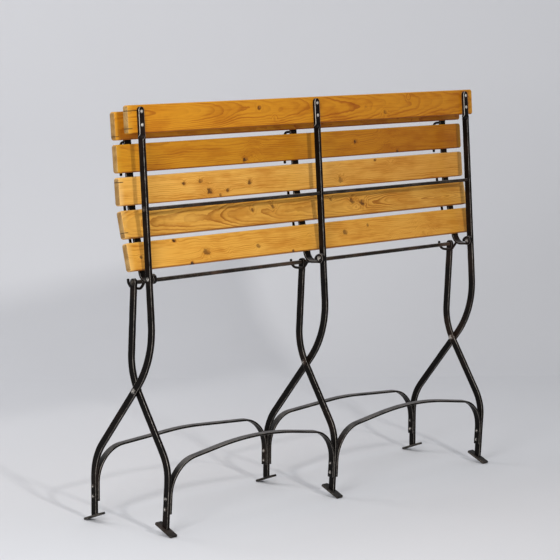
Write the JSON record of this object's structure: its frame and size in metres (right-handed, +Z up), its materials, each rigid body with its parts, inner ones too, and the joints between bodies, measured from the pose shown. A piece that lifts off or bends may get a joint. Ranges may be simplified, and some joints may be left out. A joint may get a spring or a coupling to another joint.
{
  "type": "folding garden bench",
  "caption": "Folding garden bench with crossed iron legs and a slatted seat that folds up against a one-slat back; stored folded, opens to sit on.",
  "frame": {"origin": "the ground under the middle of the folded bench: the middle of its box in X and Y", "axes": "+Z up, X along the slats, +Y towards the front, where one sits"},
  "size_m": [1.128, 0.2726, 0.9107],
  "materials": {
    "pine": "clear varnish, orange-honey, worn",
    "pine_light": "clear varnish, lighter honey, worn",
    "black_iron": "black paint over forged iron, worn at the edges",
    "worn_iron": "hammered rivet heads, paint worn to bare iron"
  },
  "bodies": {
    "back_frame": {"stile_left": "black_iron", "stile_middle": "black_iron", "stile_right": "black_iron", "backrest_slat": "pine", "back_rod": "black_iron", "front_stretcher_left": "black_iron", "front_stretcher_right": "black_iron", "front_foot_left": "black_iron", "front_foot_middle": "black_iron", "front_foot_right": "black_iron", "backrest_screws": "worn_iron", "front_stretcher_rivets": "worn_iron", "seat_pins": "worn_iron", "crossing_rivets": "worn_iron"},
    "rear_legs": {"rear_leg_left": "black_iron", "rear_leg_middle": "black_iron", "rear_leg_right": "black_iron", "cross_rod": "black_iron", "rear_stretcher_left": "black_iron", "rear_stretcher_right": "black_iron", "rear_foot_left": "black_iron", "rear_foot_middle": "black_iron", "rear_foot_right": "black_iron", "rear_stretcher_rivets": "worn_iron"},
    "seat": {"bearer_left": "black_iron", "bearer_middle": "black_iron", "bearer_right": "black_iron", "guide_left": "black_iron", "guide_middle": "black_iron", "guide_right": "black_iron", "seat_slat_1": "pine", "seat_slat_2": "pine", "seat_slat_3": "pine", "seat_slat_4": "pine_light", "seat_slat_5": "pine_light", "seat_screws": "worn_iron"}
  },
  "joints": [
    {"name": "leg_fold", "type": "hinge", "parent": "back_frame", "child": "rear_legs", "pos_m": [0, -0.02826, 0.303], "axis": [-1, 0, 0], "range_deg": [0, 45]},
    {"name": "seat_fold", "type": "hinge", "parent": "back_frame", "child": "seat", "pos_m": [0, -0.07856, 0.546], "axis": [-1, 0, 0], "range_deg": [0, 90]}
  ],
  "couplings": [
    {"joint": "seat_fold", "follows": "leg_fold", "ratio": 2}
  ]
}
